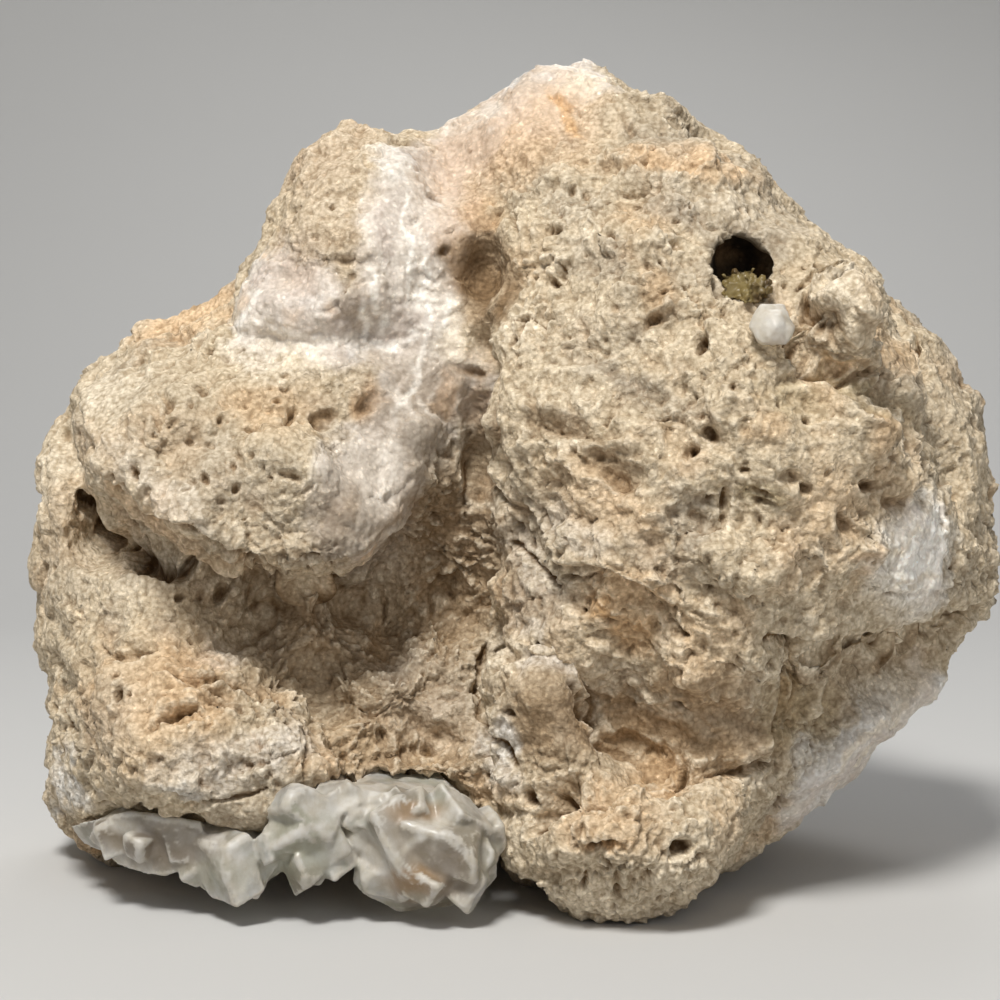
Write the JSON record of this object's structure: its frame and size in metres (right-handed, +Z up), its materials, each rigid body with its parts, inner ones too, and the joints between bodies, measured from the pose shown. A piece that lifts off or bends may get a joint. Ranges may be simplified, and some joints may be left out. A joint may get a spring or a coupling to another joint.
{
  "type": "calcite in limestone specimen",
  "caption": "Rough block of porous limestone with a white calcite vein down its front, blocky clear calcite crystals under its lower edge, and overhanging ledges round a recess; rests on its underside.",
  "frame": {"origin": "middle of the specimen's box, on the surface that it rests on", "axes": "+X across the broad front from the left shoulder to the right side, +Y from the front with the vein to the back, +Z up"},
  "size_m": [0.203, 0.1268, 0.1664],
  "materials": {
    "tan_limestone": "rough",
    "white_spar": "satin",
    "clear_calcite": "glossy",
    "yellow_calcite": "satin"
  },
  "bodies": {
    "root": {"limestone_matrix": "tan_limestone", "calcite_spar_vein": "white_spar", "calcite_spar_patch": "white_spar", "calcite_edge_band": "white_spar", "calcite_crystal_cluster": "clear_calcite", "calcite_single_crystal": "clear_calcite", "calcite_vug_crust": "yellow_calcite"}
  },
  "joints": []
}
